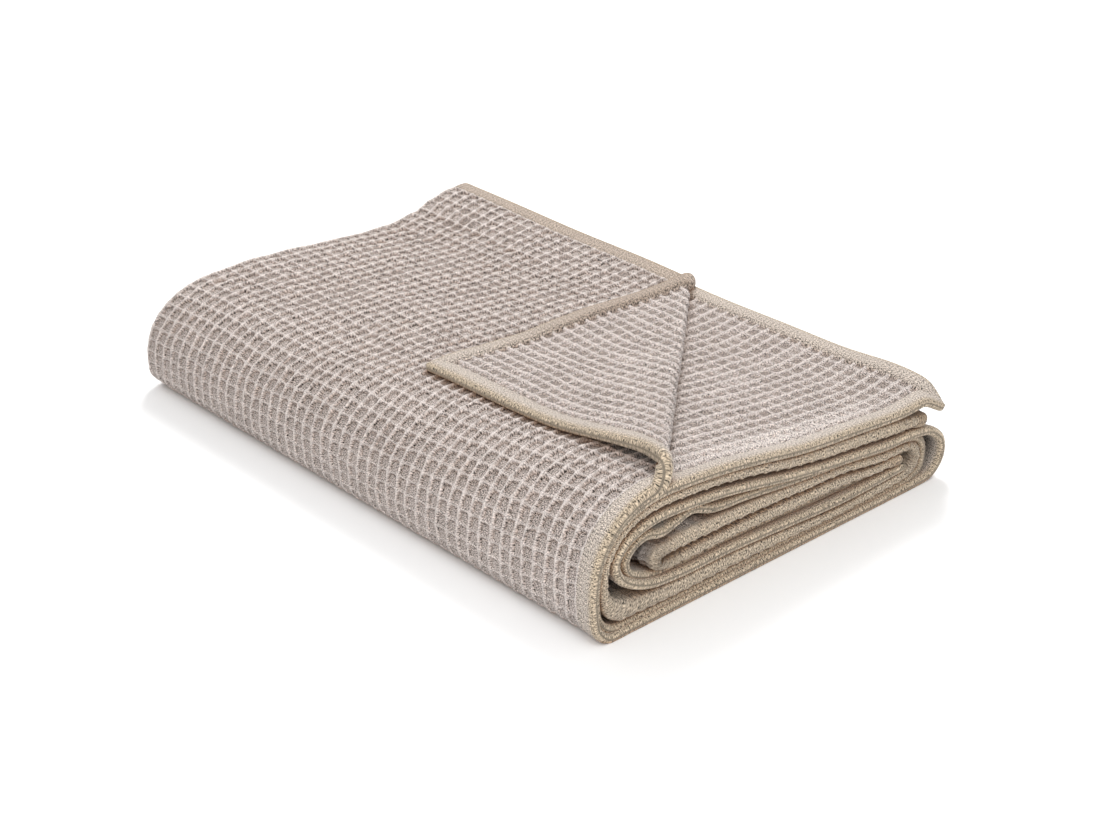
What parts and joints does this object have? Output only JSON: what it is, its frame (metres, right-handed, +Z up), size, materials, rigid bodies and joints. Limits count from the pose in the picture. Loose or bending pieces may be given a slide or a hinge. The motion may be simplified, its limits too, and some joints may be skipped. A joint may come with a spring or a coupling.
{
  "type": "bedspread",
  "caption": "Hemmed waffle-weave cotton bedspread, folded into a flat rectangular bundle with one corner turned back.",
  "frame": {"origin": "centre of the bounding box, on the surface that the folded bundle rests on", "axes": "+X along the bundle's length, towards the end where the side hems show; +Y towards the back, where the rear hem and the open ends of the roll are; +Z up"},
  "size_m": [0.598, 0.405, 0.1278],
  "materials": {
    "bedspread": "matt, waffle-woven cotton"
  },
  "bodies": {
    "root": {"bedspread": "bedspread"}
  },
  "joints": []
}
